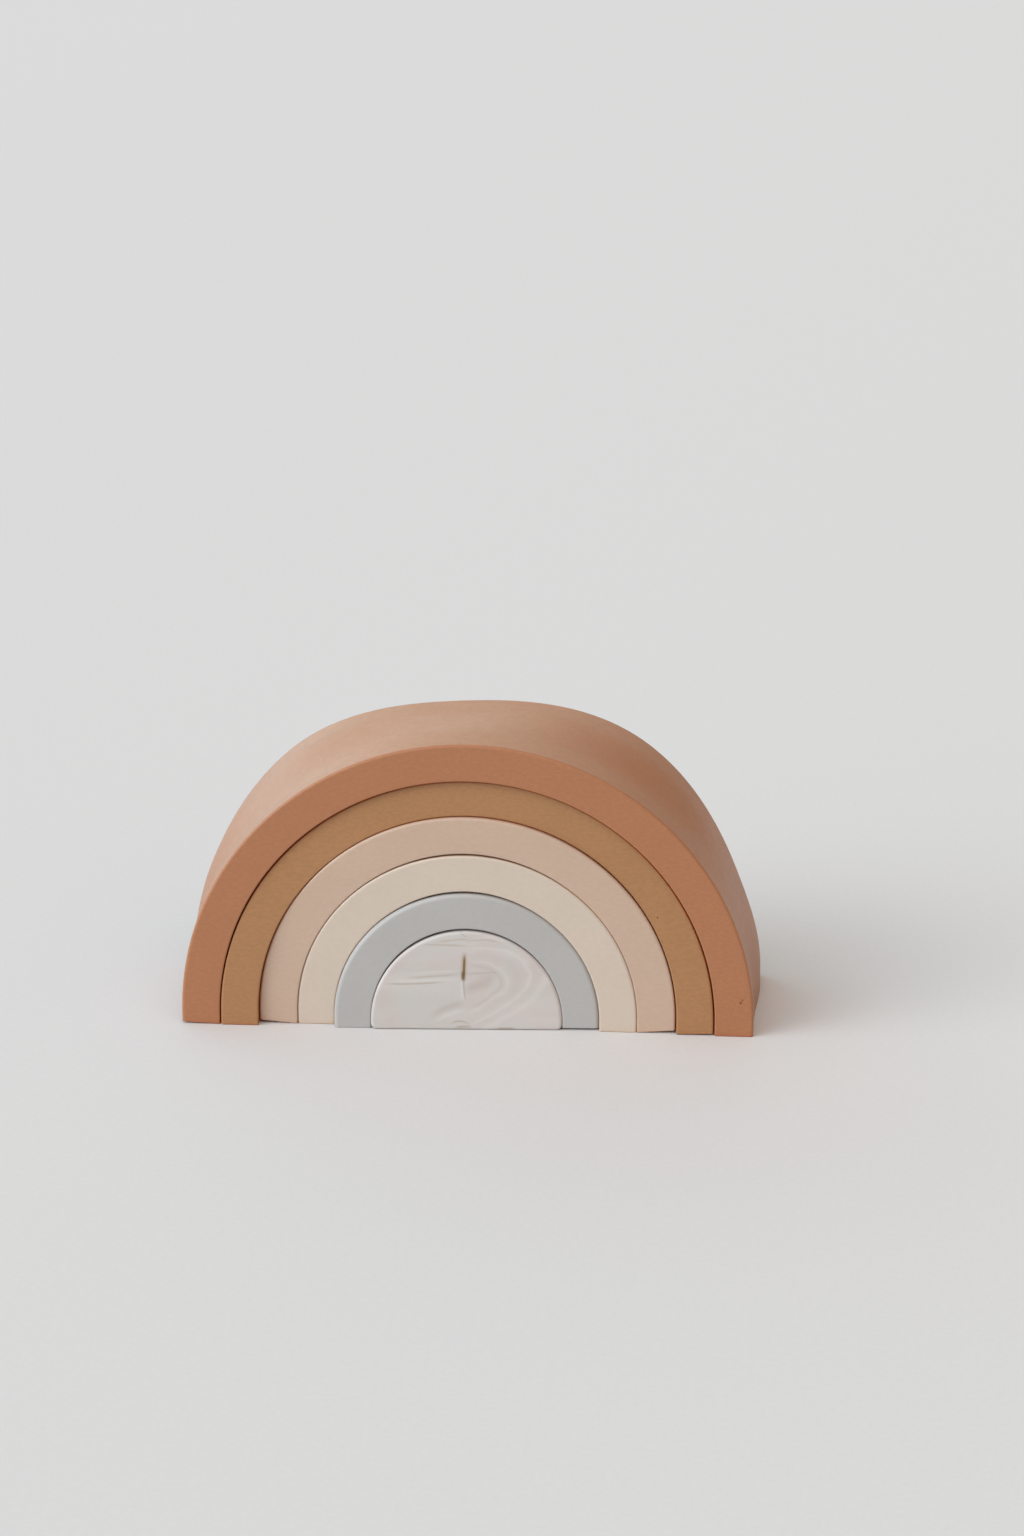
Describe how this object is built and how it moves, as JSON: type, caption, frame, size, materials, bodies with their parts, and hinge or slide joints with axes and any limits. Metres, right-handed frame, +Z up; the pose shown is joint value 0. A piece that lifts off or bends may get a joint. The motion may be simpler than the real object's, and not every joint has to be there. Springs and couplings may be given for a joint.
{
  "type": "rainbow stacker",
  "caption": "Nesting rainbow stacker toy of solid moulded silicone: arches in muted earth colours slide one inside the other over a marbled half-disc core, to take apart, stack and nest.",
  "frame": {"origin": "on the floor under the middle of the nest, half way between the front and back faces", "axes": "+X across the rainbow, +Y along the tunnels from the front faces to the back faces, +Z up"},
  "size_m": [0.1482, 0.045, 0.0753],
  "materials": {
    "terracotta_silicone": "matte moulded silicone, terracotta",
    "ochre_silicone": "matte moulded silicone, ochre brown",
    "blush_silicone": "matte moulded silicone, blush",
    "cream_silicone": "matte moulded silicone, cream",
    "grey_silicone": "matte moulded silicone, pale grey",
    "marbled_silicone": "matte moulded silicone, off-white with grey and brown marbling"
  },
  "bodies": {
    "terracotta": {"terracotta_arch": "terracotta_silicone"},
    "ochre": {"ochre_arch": "ochre_silicone"},
    "blush": {"blush_arch": "blush_silicone"},
    "cream": {"cream_arch": "cream_silicone"},
    "grey": {"grey_arch": "grey_silicone"},
    "core": {"marble_core": "marbled_silicone"}
  },
  "joints": [
    {"name": "ochre_slide", "type": "slide", "parent": "terracotta", "child": "ochre", "axis": [0, -1, 0], "range_m": [-0.055, 0.055]},
    {"name": "blush_slide", "type": "slide", "parent": "ochre", "child": "blush", "axis": [0, -1, 0], "range_m": [-0.055, 0.055]},
    {"name": "cream_slide", "type": "slide", "parent": "blush", "child": "cream", "axis": [0, -1, 0], "range_m": [-0.055, 0.055]},
    {"name": "grey_slide", "type": "slide", "parent": "cream", "child": "grey", "axis": [0, -1, 0], "range_m": [-0.055, 0.055]},
    {"name": "core_slide", "type": "slide", "parent": "grey", "child": "core", "axis": [0, -1, 0], "range_m": [-0.055, 0.055]}
  ]
}
